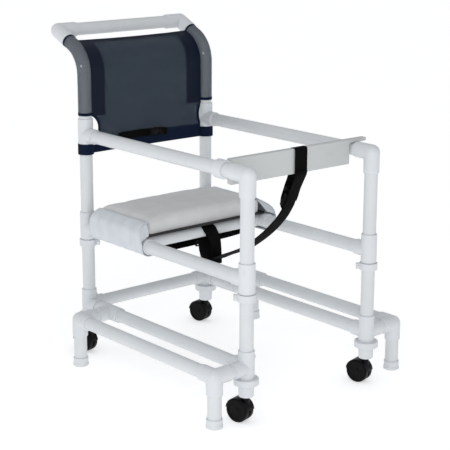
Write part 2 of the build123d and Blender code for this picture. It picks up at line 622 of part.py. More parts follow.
os.makedirs("parts", exist_ok=True)
for node, shape in all_parts().items():
    export_step(shape, "parts/" + node + ".step")
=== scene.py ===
import json
import math
import random

import bmesh
import bpy
from bpy.props import FloatProperty, FloatVectorProperty, IntProperty, PointerProperty
from mathutils import Matrix, Vector


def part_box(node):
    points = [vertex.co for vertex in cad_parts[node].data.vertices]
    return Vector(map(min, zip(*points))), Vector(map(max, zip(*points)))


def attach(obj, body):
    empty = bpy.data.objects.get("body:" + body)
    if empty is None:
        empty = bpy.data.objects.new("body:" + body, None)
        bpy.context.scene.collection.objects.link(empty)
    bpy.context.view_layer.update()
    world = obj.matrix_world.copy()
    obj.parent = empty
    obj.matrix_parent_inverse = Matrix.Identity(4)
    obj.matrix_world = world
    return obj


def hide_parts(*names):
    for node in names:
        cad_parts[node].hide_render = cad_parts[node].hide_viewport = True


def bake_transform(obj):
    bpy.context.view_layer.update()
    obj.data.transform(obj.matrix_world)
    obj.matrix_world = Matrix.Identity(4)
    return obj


bl_info = {
    "name": "Walker chair",
    "version": (1, 0, 0),
    "blender": (4, 5, 0),
    "location": "View3D > Sidebar > Walker chair",
    "description": "Builds the cloth, straps, pads and finishes of a plastic pipe walker chair on its frame",
    "category": "Add Mesh",
}

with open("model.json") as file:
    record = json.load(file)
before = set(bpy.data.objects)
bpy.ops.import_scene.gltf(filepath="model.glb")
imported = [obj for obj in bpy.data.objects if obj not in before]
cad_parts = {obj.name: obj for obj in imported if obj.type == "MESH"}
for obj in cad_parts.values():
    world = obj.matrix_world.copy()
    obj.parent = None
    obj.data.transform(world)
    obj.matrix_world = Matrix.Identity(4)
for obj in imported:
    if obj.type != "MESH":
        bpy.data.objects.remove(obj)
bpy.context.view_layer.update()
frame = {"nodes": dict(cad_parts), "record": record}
NODES = frame["nodes"]

SIDES = (-1, 1)
SIDE_NAMES = {-1: "right", 1: "left"}
PIPE_R = 0.0211
HUB_R = 0.025
WEBBING = 0.0018               # thickness of the straps
CLOTH_GAP = 0.0012             # from a pipe or the panel to the cloth over it
BAR_AHEAD = 0.285              # the front seat bar, from the rear posts


def middle(node):
    """Middle of a frame part's box."""
    low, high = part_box(node)
    return (low + high) / 2


POST_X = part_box("rear_posts")[1].x - PIPE_R
REAR_Y = middle("rear_posts").y
SEAT_Z = middle("seat_rails").z
PUSH = middle("push_bar")
CUSHION_LOW, CUSHION_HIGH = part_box("seat_cushion")
BOARD_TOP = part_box("seat_board")[1]

# The back posts rise straight to the bend, lean back through it and run straight to the push bar.
BEND_Z = 0.950
LEAN = math.radians(65)
RISE = PUSH.z - BEND_Z
BACK = PUSH.y - REAR_Y
STRAIGHT = (BACK * math.sin(LEAN) - RISE * (1 - math.cos(LEAN))) / (
    math.sin(LEAN) ** 2 - math.cos(LEAN) * (1 - math.cos(LEAN)))
BEND_R = (RISE - STRAIGHT * math.cos(LEAN)) / math.sin(LEAN)
ELBOW_MOUTH = 0.066            # from the push bar's axis to the end of the sling's sleeves
TOP_RUN = BEND_R * LEAN + STRAIGHT - ELBOW_MOUTH


def ahead(distance):
    """Y of a place this far ahead of the rear posts."""
    return REAR_Y - distance


def on_back(run):
    """Height along the back posts' line: (y, z, lean), with run measured along it from the bend's start."""
    if run < 0:
        return REAR_Y, BEND_Z + run, 0.0
    turn = min(run / BEND_R, LEAN)
    rest = max(run - BEND_R * LEAN, 0.0)
    y = REAR_Y + BEND_R * (1 - math.cos(turn)) + rest * math.sin(turn)
    z = BEND_Z + BEND_R * math.sin(turn) + rest * math.cos(turn)
    return y, z, turn


def back_place(x, run, forward=0.0):
    """Point on the back's surface, this far in front of it."""
    y, z, turn = on_back(run)
    return Vector((x, y - forward * math.cos(turn), z + forward * math.sin(turn)))


def past(x, z, *points):
    """Places given as (left of x, ahead of the rear posts, above z)."""
    return [(x + left, ahead(forward), z + up) for left, forward, up in points]


def square_to(along, out):
    """The part of a direction that is square to a line, with length 1."""
    out = Vector(out)
    return (out - out.dot(along) * along).normalized()


def frame_of(place, x, y, z):
    """Matrix of a place with these axes."""
    return Matrix.Translation(place) @ Matrix((x, y, z)).transposed().to_4x4()


def add_object(name, data):
    made = bpy.data.objects.new(name, data)
    bpy.context.scene.collection.objects.link(made)
    return made


def mesh_of(name, bm):
    """Turn a bmesh into a mesh and free it."""
    mesh = bpy.data.meshes.new(name)
    bm.to_mesh(mesh)
    bm.free()
    return mesh


# ---------------------------------------------------------------- shader arithmetic

class Value:
    """A shader socket that takes part in Python arithmetic."""

    def __init__(self, graph, socket):
        self.graph = graph
        self.socket = socket

    def math(self, operation, *terms):
        return self.graph.node("ShaderNodeMath", {"operation": operation}, dict(enumerate(terms)))

    def __add__(self, other):
        return self.math("ADD", self, other)

    def __sub__(self, other):
        return self.math("SUBTRACT", self, other)

    def __rsub__(self, other):
        return self.math("SUBTRACT", other, self)

    def __mul__(self, other):
        return self.math("MULTIPLY", self, other)

    def __pow__(self, other):
        return self.math("POWER", self, other)

    __radd__ = __add__
    __rmul__ = __mul__

    def sine(self):
        return self.math("SINE", self)

    def size(self):
        return self.math("ABSOLUTE", self)

    def larger(self, other):
        return self.math("MAXIMUM", self, other)

    def below(self, limit):
        return self.math("LESS_THAN", self, limit)

    def ramp(self, low, high, start=0.0, end=1.0):
        """Smooth step from start to end as the value goes from low to high."""
        return self.graph.node("ShaderNodeMapRange", {"interpolation_type": "SMOOTHSTEP"}, {
            "Value": self, "From Min": low, "From Max": high, "To Min": start, "To Max": end})


class Graph:
    """A material's node tree round one Principled surface."""

    def __init__(self, name, roughness, **constants):
        self.material = bpy.data.materials.new(name)
        self.material.use_nodes = True
        self.tree = self.material.node_tree
        self.surface = self.tree.nodes["Principled BSDF"]
        self.put(self.surface, "Roughness", roughness)
        for socket, value in constants.items():
            self.put(self.surface, socket.replace("_", " "), value)

    def put(self, node, socket, value):
        if isinstance(value, Value):
            self.tree.links.new(value.socket, node.inputs[socket])
        else:
            node.inputs[socket].default_value = value

    def node(self, kind, settings=None, inputs=None, output=0):
        made = self.tree.nodes.new(kind)
        for key, value in (settings or {}).items():
            setattr(made, key, value)
        for socket, value in (inputs or {}).items():
            self.put(made, socket, value)
        return Value(self, made.outputs[output])

    def place(self, scale=(1, 1, 1)):
        """The piece's own coordinates, in metres, stretched."""
        coords = self.node("ShaderNodeTexCoord", output="Object")
        return self.node("ShaderNodeMapping", None, {"Vector": coords, "Scale": scale})

    def across_along(self):
        """Metres across and along a cloth or strap."""
        uv = self.node("ShaderNodeUVMap", {"uv_map": "cloth"})
        split = self.node("ShaderNodeSeparateXYZ", None, {0: uv})
        return split, Value(self, split.socket.node.outputs[1])

    def noise(self, scale, detail=2.0, place=None, roughness=0.5):
        return self.node("ShaderNodeTexNoise", {"noise_dimensions": "3D"}, {
            "Vector": place or self.place(), "Scale": scale, "Detail": detail, "Roughness": roughness})

    def blend(self, share, first, second):
        """Colour between two colours, by a share from 0 to 1."""
        mixed = self.node("ShaderNodeMix", {"data_type": "RGBA"}, {"Factor": share}, output=2)
        for socket, colour in ((6, first), (7, second)):
            value = colour if isinstance(colour, Value) else (*colour, 1)
            self.put(mixed.socket.node, socket, value)
        return mixed

    def finish(self, colour=None, roughness=None, height=None, depth=0.0002, alpha=None):
        if colour is not None:
            self.put(self.surface, "Base Color", colour)
        if roughness is not None:
            self.put(self.surface, "Roughness", roughness)
        if height is not None:
            bump = self.node("ShaderNodeBump", None, {"Strength": 1.0, "Distance": depth, "Height": height})
            self.put(self.surface, "Normal", bump)
        if alpha is not None:
            self.put(self.surface, "Alpha", alpha)
        return self.material


def shade(colour, factor):
    return tuple(min(1.0, c * factor) for c in colour)


# ---------------------------------------------------------------- finishes

def pipe_finish(name, colour, peel):
    """Satin white plastic: faint mottle, handling marks and, on moulded fittings, a soft orange peel."""
    graph = Graph(name, 0.34, Specular_IOR_Level=0.30)
    mottle = graph.noise(9.0, 4.0)
    scuff = graph.noise(60.0, 5.0, graph.place((1.0, 1.0, 0.35))).ramp(0.60, 0.78)
    tone = graph.blend(mottle.ramp(0.3, 0.7), shade(colour, 0.965), colour)
    tone = graph.blend(scuff * 0.35, tone, shade(colour, 0.86))
    gloss = mottle * 0.10 + scuff * 0.16 + 0.27
    skin = graph.noise(peel, 2.0)
    return graph.finish(tone, gloss, skin, 0.00012)


def vinyl_finish(name, colour):
    """Coated vinyl: fine leather grain, soft dents and slightly worn sheen."""
    graph = Graph(name, 0.45, Specular_IOR_Level=0.4)
    cells = graph.node("ShaderNodeTexVoronoi", {"feature": "DISTANCE_TO_EDGE"}, {
        "Vector": graph.place(), "Scale": 620.0})
    grain = cells.ramp(0.0, 0.22)
    dents = graph.noise(22.0, 3.0)
    pores = graph.noise(1500.0, 1.0)
    tone = graph.blend(dents.ramp(0.35, 0.65), shade(colour, 0.95), colour)
    tone = graph.blend((1 - grain) * 0.25, tone, shade(colour, 0.78))
    gloss = 0.52 - grain * 0.10 + dents * 0.08
    return graph.finish(tone, gloss, grain * 0.55 + dents * 1.6 + pores * 0.12, 0.0005)


def board_finish(name, colour, grain_scale, roughness):
    """Plain board with a fine pebbled skin and rubbed marks."""
    graph = Graph(name, roughness, Specular_IOR_Level=0.35)
    pebble = graph.noise(grain_scale, 2.0)
    rub = graph.noise(28.0, 5.0, graph.place((0.3, 1.0, 1.0))).ramp(0.52, 0.75)
    tone = graph.blend(rub * 0.5, colour, shade(colour, 0.9))
    return graph.finish(tone, pebble * 0.12 + rub * 0.08 + (roughness - 0.08), pebble, 0.00018)


def mesh_finish(name, thread, painted_highlight, openness):
    """Open plastic-coated weave: yarns over and under each other with square holes between them, with a
    painted highlight on the raised yarn and painted shade in the hollows.
    """
    pitch = 0.0024
    graph = Graph(name, 0.55, Specular_IOR_Level=0.14)
    across, along = graph.across_along()
    warp = (across * (math.pi / pitch)).sine()
    weft = (along * (math.pi / pitch)).sine()
    over = (warp * weft) * 0.5 + 0.5
    warp_yarn, weft_yarn = warp.size(), weft.size()
    height = (warp_yarn * (over * 0.6 + 0.4)).larger(weft_yarn * (1.0 - over * 0.6))
    hole = warp_yarn.below(openness) * weft_yarn.below(openness)
    slub = graph.noise(240.0, 2.0, graph.place((1.0, 1.0, 0.05)))
    # painted light: the raised yarn is blended towards a painted highlight colour, and the hollows keep the
    # darker yarn colour as painted shade
    tone = graph.blend(height ** 2.0 * (slub * 0.8 + 0.3), thread, painted_highlight)
    return graph.finish(tone, slub * 0.2 + 0.4, height, 0.0005, 1.0 - hole)


def tape_finish(name, colour, pitch=0.0016, depth=0.00045):
    """Woven tape or webbing: ribs across, a fine herringbone in them, and a painted highlight on the high
    spots.
    """
    graph = Graph(name, 0.8, Specular_IOR_Level=0.05)
    across, along = graph.across_along()
    zigzag = ((across * (2 * math.pi / (pitch * 6.5))).sine() * 0.9)
    rib = ((along * (2 * math.pi / pitch)) + zigzag).sine() * 0.5 + 0.5
    yarn = (across * (2 * math.pi / (pitch * 0.8))).sine() * 0.5 + 0.5
    weave = rib * 0.75 + yarn * 0.35
    fuzz = graph.noise(900.0, 2.0)
    # painted highlight: the raised weave is blended towards a lighter copy of the colour
    tone = graph.blend(weave ** 2.0 * (fuzz * 0.6 + 0.25), colour, tuple(c * 1.8 + 0.002 for c in colour))
    return graph.finish(tone, fuzz * 0.2 + 0.62, weave + fuzz * 0.3, depth)


def moulded_finish(name, colour, roughness, grain_scale=900.0):
    """Moulded plastic or rubber with a faint skin texture and dust in the hollows."""
    graph = Graph(name, roughness, Specular_IOR_Level=0.10)
    skin = graph.noise(grain_scale, 2.0)
    dust = graph.noise(38.0, 5.0).ramp(0.52, 0.80)
    tone = graph.blend(dust * 0.35, colour, tuple(c * 1.5 + 0.003 for c in colour))
    return graph.finish(tone, dust * 0.14 + skin * 0.06 + (roughness - 0.04), skin, 0.00010)


def steel_finish(name, colour):
    """Zinc plated steel with a fine drawn grain."""
    graph = Graph(name, 0.34, Metallic=1.0)
    drawn = graph.noise(700.0, 3.0, graph.place((1.0, 1.0, 0.08)))
    tone = graph.blend(drawn, shade(colour, 0.82), shade(colour, 1.15))
    return graph.finish(tone, drawn * 0.2 + 0.24, drawn, 0.00004)


def thread_finish(name, colour):
    """Sewing thread: twisted, with a slight sheen."""
    graph = Graph(name, 0.5, Sheen_Weight=0.2)
    twist = graph.noise(2600.0, 1.0)
    tone = graph.blend(twist, shade(colour, 0.7), shade(colour, 1.3))
    return graph.finish(tone, twist * 0.2 + 0.45, twist, 0.00005)


FINISHES = {}


def make_finishes(tones):
    """Build each finish once, from the colours that the user set."""
    FINISHES.update({
        "pipe": pipe_finish("white_pipe", tones.pipe, 420.0),
        "fitting": pipe_finish("white_fitting", tones.fitting, 260.0),
        "vinyl": vinyl_finish("grey_vinyl", tones.vinyl),
        "flap": vinyl_finish("flap_vinyl", tones.flap),
        "board": board_finish("black_board", tones.board, 500.0, 0.55),
        "gate": board_finish("grey_board", tones.gate, 650.0, 0.5),
        # the second colour of each mesh is a painted highlight on its raised yarn; the double mesh's is its
        # own colour made 1.8 times lighter
        "mesh": mesh_finish("mesh_panel", tones.mesh_thread, tones.mesh_painted_highlight, 0.20),
        "sleeve": mesh_finish("mesh_sleeve", tones.mesh_thread, tones.sleeve_painted_highlight, 0.80),
        "double": mesh_finish("mesh_double", tones.mesh_double, shade(tones.mesh_double, 1.8), 0.08),
        "binding": tape_finish("navy_binding", tones.binding, 0.0012, 0.0003),
        "webbing": tape_finish("black_webbing", tones.webbing),
        "buckle": moulded_finish("black_buckle", tones.buckle, 0.38),
        "hood": moulded_finish("black_hood", tones.hood, 0.30),
        "wheel": moulded_finish("black_wheel", tones.wheel, 0.42, 500.0),
        "steel": steel_finish("plated_steel", tones.steel),
        "thread": thread_finish("navy_thread", tones.thread),
    })


# ---------------------------------------------------------------- making pieces

def new_piece(name, bm, finish, body, recalc=False):
    """Turn a bmesh into a piece of the chair that moves with a body of the frame."""
    if recalc:
        bmesh.ops.recalc_face_normals(bm, faces=bm.faces)
    mesh = mesh_of(name, bm)
    piece = add_object(name, mesh)
    mesh.materials.append(FINISHES[finish])
    for face in mesh.polygons:
        face.use_smooth = True
    if body is not None:
        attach(piece, body)
    return piece


def bent_grid(across, along, size, place, weld=False):
    """Flat grid of this many cells and this size in metres, bent so that (u, v) lies at place(u, v).

    It carries its flat size as the map "cloth", so a weave follows it. A weld joins edges that meet."""
    bm = bmesh.new()
    bmesh.ops.create_grid(bm, x_segments=across, y_segments=along, size=0.5)
    cloth = bm.loops.layers.uv.new("cloth")
    for face in bm.faces:
        for loop in face.loops:
            flat = loop.vert.co
            loop[cloth].uv = ((flat.x + 0.5) * size[0], (flat.y + 0.5) * size[1])
    for vert in bm.verts:
        vert.co = place(vert.co.x + 0.5, vert.co.y + 0.5)
    if weld:
        bmesh.ops.remove_doubles(bm, verts=bm.verts, dist=1e-5)
    return bm


def modify(piece, name, kind, **values):
    """Add a modifier with these values."""
    modifier = piece.modifiers.new(name, kind)
    for key, value in values.items():
        setattr(modifier, key, value)
    return piece


def thicken(piece, thickness):
    return modify(piece, "thickness", "SOLIDIFY", thickness=thickness, offset=0.0)


def soften(piece, width, segments):
    return modify(piece, "rounded edges", "BEVEL", width=width, segments=segments, limit_method="ANGLE",
                  angle_limit=math.radians(35), harden_normals=False)


def apply_modifiers(piece):
    """Replace the piece's mesh by what its modifiers make of it."""
    graph = bpy.context.evaluated_depsgraph_get()
    mesh = bpy.data.meshes.new_from_object(piece.evaluated_get(graph))
    piece.modifiers.clear()
    old = piece.data
    piece.data = mesh
    bpy.data.meshes.remove(old)
    return piece


class Route:
    """Smooth line through points, read by share of its length."""

    STEPS = 16

    def __init__(self, points, closed=False):
        points = [Vector(p) for p in points]
        count = len(points)
        ends = count if closed else count - 1
        line = []
        for i in range(ends):
            near = range(i - 1, i + 3)
            four = [points[k % count if closed else min(max(k, 0), count - 1)] for k in near]
            for step in range(self.STEPS):
                line.append(self.curve(four, step / self.STEPS))
        line.append(points[0] if closed else points[-1])
        self.line = line
        self.runs = [0.0]
        for start, end in zip(line, line[1:]):
            self.runs.append(self.runs[-1] + (end - start).length)
        self.length = self.runs[-1]

    @staticmethod
    def curve(four, t):
        before, start, end, after = four
        return 0.5 * ((2 * start) + (end - before) * t + (2 * before - 5 * start + 4 * end - after) * t ** 2
                      + (3 * start - before - 3 * end + after) * t ** 3)

    def at(self, share):
        run = min(max(share, 0.0), 1.0) * self.length
        i = 0
        while i < len(self.runs) - 2 and self.runs[i + 1] < run:
            i += 1
        span = self.runs[i + 1] - self.runs[i]
        return self.line[i].lerp(self.line[i + 1], (run - self.runs[i]) / span if span else 0.0)

    def along(self, share):
        step = 0.004
        return (self.at(share + step) - self.at(share - step)).normalized()


def ribbon(name, route, width, facing, body, finish="webbing", thickness=WEBBING,
           cells=8, pitch=0.005, edge_roll=0.0, closed=False):
    """Strap along a route. facing(share) is the direction that its face looks in."""
    rows = max(4, round(route.length / pitch))

    def place(u, v):
        along = route.along(v)
        out = square_to(along, facing(v))
        side = along.cross(out)
        lift = edge_roll * ((2 * u - 1) ** 2)
        return route.at(v) + side * (u - 0.5) * width - out * lift

    bm = bent_grid(cells, rows, (width, route.length), place, weld=closed)
    piece = new_piece(name, bm, finish, body)
    return thicken(piece, thickness)


def tube(name, round_line, radius, start, end, finish, rows, wrinkle=None):
    """Sleeve of cloth round the back's line, from one run along it to another."""
    girth = 2 * math.pi * radius

    def place(u, v):
        run = start + (end - start) * v
        turn = 2 * math.pi * u
        swell = wrinkle(u, run) if wrinkle else 0.0
        return round_line(run, turn, radius + swell)

    bm = bent_grid(28, rows, (girth, end - start), place, weld=True)
    return new_piece(name, bm, finish, "frame", recalc=True)


def block(bm, size, place, rounding, segments=3):
    """Add a box with rounded edges to a bmesh. place is its matrix."""
    made = bmesh.ops.create_cube(bm, size=1.0)
    verts = made["verts"]
    bmesh.ops.scale(bm, vec=size, verts=verts)
    edges = list({edge for vert in verts for edge in vert.link_edges})
    rounded = bmesh.ops.bevel(bm, geom=edges, offset=rounding, segments=segments, affect="EDGES",
                              profile=0.5, material=-1, clamp_overlap=True)
    all_verts = {vert for face in rounded["faces"] for vert in face.verts}
    all_verts |= {vert for vert in verts if vert.is_valid}
    linked = set(all_verts)
    for vert in all_verts:
        for edge in vert.link_edges:
            linked |= set(edge.verts)
    bmesh.ops.transform(bm, matrix=place, verts=list(linked))


def stitches(name, points, outward, body, pitch=0.0042, length=0.0026, thickness=0.0006):
    """Row of sewn stitches along a line of points."""
    route = Route(points)
    bm = bmesh.new()
    for i in range(int(route.length / pitch)):
        share = (i + 0.5) * pitch / route.length
        along = route.along(share)
        out = square_to(along, outward(share))
        place = frame_of(route.at(share), along, out.cross(along), out)
        made = bmesh.ops.create_icosphere(bm, subdivisions=1, radius=0.5)
        bmesh.ops.scale(bm, vec=(length, thickness, thickness), verts=made["verts"])
        bmesh.ops.transform(bm, matrix=place, verts=made["verts"])
    return new_piece(name, bm, "thread", body)


def copy_of(node, name, finish, body):
    """Merged copy of a frame part's mesh, to be given rounded edges, which stands for that part."""
    bm = bmesh.new()
    bm.from_mesh(NODES[node].data)
    bmesh.ops.remove_doubles(bm, verts=bm.verts, dist=1e-5)
    bmesh.ops.dissolve_limit(bm, angle_limit=math.radians(1), verts=bm.verts, edges=bm.edges)
    piece = new_piece(name, bm, finish, body)
    piece.data.set_sharp_from_angle(angle=math.radians(40))
    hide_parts(node)
    return piece


# ---------------------------------------------------------------- settings

def tone(label, description, default):
    return FloatVectorProperty(name=label, description=description, default=default, size=3,
                               min=0.0, max=1.0, subtype="COLOR")


def measure(label, description, default):
    return FloatProperty(name=label, description=description, default=default, unit="LENGTH")


def angle(label, description, degrees):
    return FloatProperty(name=label, description=description, default=math.radians(degrees),
                         subtype="ANGLE", unit="ROTATION")


class ChairTones(bpy.types.PropertyGroup):
    pipe: tone("Pipe", "Colour of the plastic pipe", (0.685, 0.71, 0.73))
    fitting: tone("Fittings", "Colour of the moulded fittings", (0.695, 0.72, 0.745))
    vinyl: tone("Cushion", "Colour of the cushion's vinyl", (0.79, 0.795, 0.80))
    flap: tone("Flaps", "Colour of the side flaps' vinyl", (0.74, 0.785, 0.83))
    board: tone("Seat board", "Colour of the seat board", (0.012, 0.012, 0.013))
    gate: tone("Gate", "Colour of the gate board", (0.555, 0.57, 0.565))
    # the mesh's yarn colour, kept in the weave's hollows as painted shade, then the painted highlight colours
    # that the raised yarn gets, paler on the sleeves
    mesh_thread: tone("Mesh thread", "Colour of the mesh's yarn in the hollows", (0.010, 0.018, 0.030))
    mesh_painted_highlight: tone("Mesh glint", "Colour of the mesh's yarn where it is raised", (0.022, 0.046, 0.085))
    sleeve_painted_highlight: tone("Sleeve glint", "Colour of the sleeves' yarn where it is raised", (0.11, 0.15, 0.19))
    mesh_double: tone("Double mesh", "Colour of the mesh where it is two layers", (0.0025, 0.006, 0.018))
    binding: tone("Binding", "Colour of the binding tape and the hem", (0.005, 0.010, 0.028))
    webbing: tone("Webbing", "Colour of the straps", (0.002, 0.002, 0.0022))
    buckle: tone("Buckles", "Colour of the buckles", (0.003, 0.003, 0.0035))
    hood: tone("Caster hoods", "Colour of the caster hoods", (0.004, 0.004, 0.005))
    wheel: tone("Caster wheels", "Colour of the caster wheels", (0.0035, 0.0035, 0.0035))
    steel: tone("Steel", "Colour of the screws and pins", (0.62, 0.62, 0.63))
    thread: tone("Thread", "Colour of the sewing thread", (0.012, 0.022, 0.050))


class ChairCloth(bpy.types.PropertyGroup):
    sling_bottom: measure("Sling bottom", "Height of the sling's lower edge", 0.688)
    hem: measure("Hem", "Width of the band along the sling's lower edge", 0.046)
    sleeve_bottom: measure("Sleeve bottom", "Height of the lower ends of the sleeves", 0.817)
    band: measure("Side bands", "Width of the double layer beside each sleeve", 0.060)
    band_bottom: measure("Band bottom", "Height of the lower ends of the double layer", 0.809)
    window: measure("Right window", "Cut-out round the right arm tee, from the post's axis inwards", 0.053)
    window_left: measure("Left window", "Cut-out round the left arm tee, from the post's axis inwards", 0.031)
    cushion_crown: measure("Cushion swell", "Furthest that the pad's cover swells", 0.007)
    creases: IntProperty(name="Creases", description="Creases in each side flap", default=13)


class ChairStraps(bpy.types.PropertyGroup):
    width: measure("Strap width", "Width of the crotch strap", 0.050)
    place: measure("Strap place", "Middle of the strap on the gate, left of the chair's middle", 0.0305)


class ChairStudio(bpy.types.PropertyGroup):
    camera: FloatVectorProperty(name="Camera", description="Place of the camera", size=3,
                                default=(-2.7226, -3.2412, 1.5739), subtype="TRANSLATION", unit="LENGTH")
    azimuth: angle("Azimuth", "Angle round the chair from its front", -40.64)
    elevation: angle("Elevation", "Angle above the horizon", 14.61)
    roll: angle("Roll", "Turn of the picture about the line of sight", 0.17)
    lens: FloatProperty(name="Lens", description="Focal length for a 36 mm wide sensor", default=107.25)
    floor: tone("Floor", "Colour of the floor", (0.85, 0.85, 0.85))
    glow: FloatProperty(name="Floor glow", description="Light that the floor gives off", default=0.47)
    sky: FloatProperty(name="Sky", description="Strength of the light from all round", default=0.62)


def settings(group):
    return getattr(bpy.context.scene, group)


# ---------------------------------------------------------------- stage

class CHAIR_OT_stage(bpy.types.Operator):
    """Set up the camera, the pale floor and the soft studio light"""

    bl_idname = "chair.stage"
    bl_label = "Camera, floor and light"

    def execute(self, context):
        studio = settings("chair_studio")
        self.camera(studio)
        self.floor(studio)
        self.light("key", (-2.1, -2.4, 1.3), 1.5, 22.0)
        world = bpy.data.worlds.new("studio")
        bpy.context.scene.world = world
        world.use_nodes = True
        sky = world.node_tree.nodes["Background"]
        sky.inputs["Color"].default_value = (0.97, 0.985, 1.0, 1)
        self.shade_right(world.node_tree, sky, studio)
        bpy.context.scene.view_settings.view_transform = "Standard"
        return {"FINISHED"}

    def camera(self, studio):
        azimuth, elevation, roll = studio.azimuth, studio.elevation, studio.roll
        back = Vector((math.sin(azimuth) * math.cos(elevation), -math.cos(azimuth) * math.cos(elevation),
                       math.sin(elevation)))
        right = Vector((math.cos(azimuth), math.sin(azimuth), 0))
        up = back.cross(right)
        across = right * math.cos(roll) + up * math.sin(roll)
        data = bpy.data.cameras.new("camera")
        data.lens = studio.lens
        camera = add_object("camera", data)
        camera.matrix_world = frame_of(studio.camera, across, back.cross(across), back)
        bpy.context.scene.camera = camera

    def shade_right(self, tree, sky, studio):
        """Make the light weaker on the camera's right."""
        right = (math.cos(studio.azimuth), math.sin(studio.azimuth), 0)
        coords = tree.nodes.new("ShaderNodeTexCoord")
        side = tree.nodes.new("ShaderNodeVectorMath")
        side.operation = "DOT_PRODUCT"
        side.inputs[1].default_value = right
        level = tree.nodes.new("ShaderNodeMapRange")
        for socket, value in (("From Min", -1), ("From Max", 1), ("To Min", 1.25 * studio.sky),
                              ("To Max", 0.80 * studio.sky)):
            level.inputs[socket].default_value = value
        tree.links.new(coords.outputs["Generated"], side.inputs[0])
        tree.links.new(side.outputs["Value"], level.inputs["Value"])
        tree.links.new(level.outputs["Result"], sky.inputs["Strength"])

    def floor(self, studio):
        bm = bmesh.new()
        bmesh.ops.create_grid(bm, x_segments=1, y_segments=1, size=30.0)
        floor = add_object("floor", mesh_of("floor", bm))
        graph = Graph("pale_floor", 0.9, Emission_Color=(1, 1, 1, 1), Emission_Strength=studio.glow,
                      Specular_IOR_Level=0.1)
        grain = graph.noise(3.0, 3.0)
        tint = graph.blend(grain, shade(studio.floor, 0.99), studio.floor)
        floor.data.materials.append(graph.finish(tint))

    def light(self, name, place, size, power):
        data = bpy.data.lights.new(name, "AREA")
        data.size = size
        data.energy = power
        lamp = add_object(name, data)
        aim = Vector((0, 0, 0.5)) - Vector(place)
        lamp.matrix_world = Matrix.Translation(place) @ aim.to_track_quat("-Z", "Y").to_matrix().to_4x4()


# ---------------------------------------------------------------- pieces

class CHAIR_OT_finishes(bpy.types.Operator):
    """Give every part of the frame its finish"""

    bl_idname = "chair.finishes"
    bl_label = "Finishes of the frame"

    def execute(self, context):
        make_finishes(settings("chair_tones"))
        for part in frame["record"]["subparts"]:
            mesh = NODES[part["node"]].data
            finish = FINISHES[part["material_slot"]]
            if mesh.materials:
                for i in range(len(mesh.materials)):
                    mesh.materials[i] = finish
            else:
                mesh.materials.append(finish)
        return {"FINISHED"}


class CHAIR_OT_boards(bpy.types.Operator):
    """Round the edges of the gate board and the seat board"""

    bl_idname = "chair.boards"
    bl_label = "Gate board and seat board"

    def execute(self, context):
        soften(copy_of("gate_board", "gate_board_rounded", "gate", "gate"), 0.0022, 3)
        soften(copy_of("seat_board", "seat_board_rounded", "board", "seat"), 0.0010, 2)
        return {"FINISHED"}


class CHAIR_OT_cushion(bpy.types.Operator):
    """Stuff the seat pad: its vinyl cover swells under pressure and lies flat on the board"""

    bl_idname = "chair.cushion"
    bl_label = "Seat cushion"

    def execute(self, context):
        cloth = settings("chair_cloth")
        low, high = CUSHION_LOW.copy(), CUSHION_HIGH.copy()
        slack = Vector((0.0035, 0.0035, 0.0))       # room for the cover to swell into
        low += slack
        high -= slack + Vector((0, 0, 0.006))
        bm = bmesh.new()
        # the block starts lower, so that its lower rounding is pressed flat on the board
        sunk = low - Vector((0, 0, 0.011))
        block(bm, high - sunk, Matrix.Translation((sunk + high) / 2), 0.013, 4)
        piece = new_piece("seat_cushion_cover", bm, "vinyl", None, recalc=True)
        modify(piece, "even cells", "REMESH", mode="VOXEL", voxel_size=0.006)
        apply_modifiers(piece)
        self.stuff(piece, cloth.cushion_crown)
        self.shape(piece, low, high)
        for face in piece.data.polygons:
            face.use_smooth = True
        modify(piece, "smooth", "SUBSURF", levels=1, render_levels=1)
        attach(piece, "seat")
        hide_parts("seat_cushion")
        return {"FINISHED"}

    def stuff(self, piece, most):
        """Swell the cover by cloth simulation, no point moving further than the given distance."""
        rest = [v.co.copy() for v in piece.data.vertices]
        cloth = piece.modifiers.new("cover", "CLOTH").settings
        cloth.quality = 6
        cloth.mass = 0.4
        cloth.use_pressure = True
        cloth.uniform_pressure_force = 4.0
        cloth.tension_stiffness = 30.0
        cloth.compression_stiffness = 30.0
        cloth.effector_weights.gravity = 0.0
        scene = bpy.context.scene
        for number in range(1, 21):
            scene.frame_set(number)
        apply_modifiers(piece)
        scene.frame_set(1)
        for vert, start in zip(piece.data.vertices, rest):
            move = vert.co - start
            if move.length > most:
                vert.co = start + move.normalized() * most

    def shape(self, piece, low, high):
        """Rest the pad on the board, pull in the sides between the corners and crown the top."""
        centre = (low + high) / 2
        half = (high - low) / 2
        for vert in piece.data.vertices:
            x = (vert.co.x - centre.x) / half.x
            y = (vert.co.y - centre.y) / half.y
            up = min(max((vert.co.z - low.z) / (high.z - low.z), 0.0), 1.0)
            crown = max(0.0, 1 - x * x) * max(0.0, 1 - y * y)
            vert.co.z += 0.0045 * crown * up - 0.0040 * (abs(x * y) ** 3) * up
            vert.co.x -= math.copysign(0.0020, x) * max(0.0, 1 - y * y) * abs(x) ** 6
            vert.co.y -= math.copysign(0.0030, y) * max(0.0, 1 - x * x) * abs(y) ** 6
            vert.co.z = min(max(vert.co.z, low.z), CUSHION_HIGH.z + 0.004)


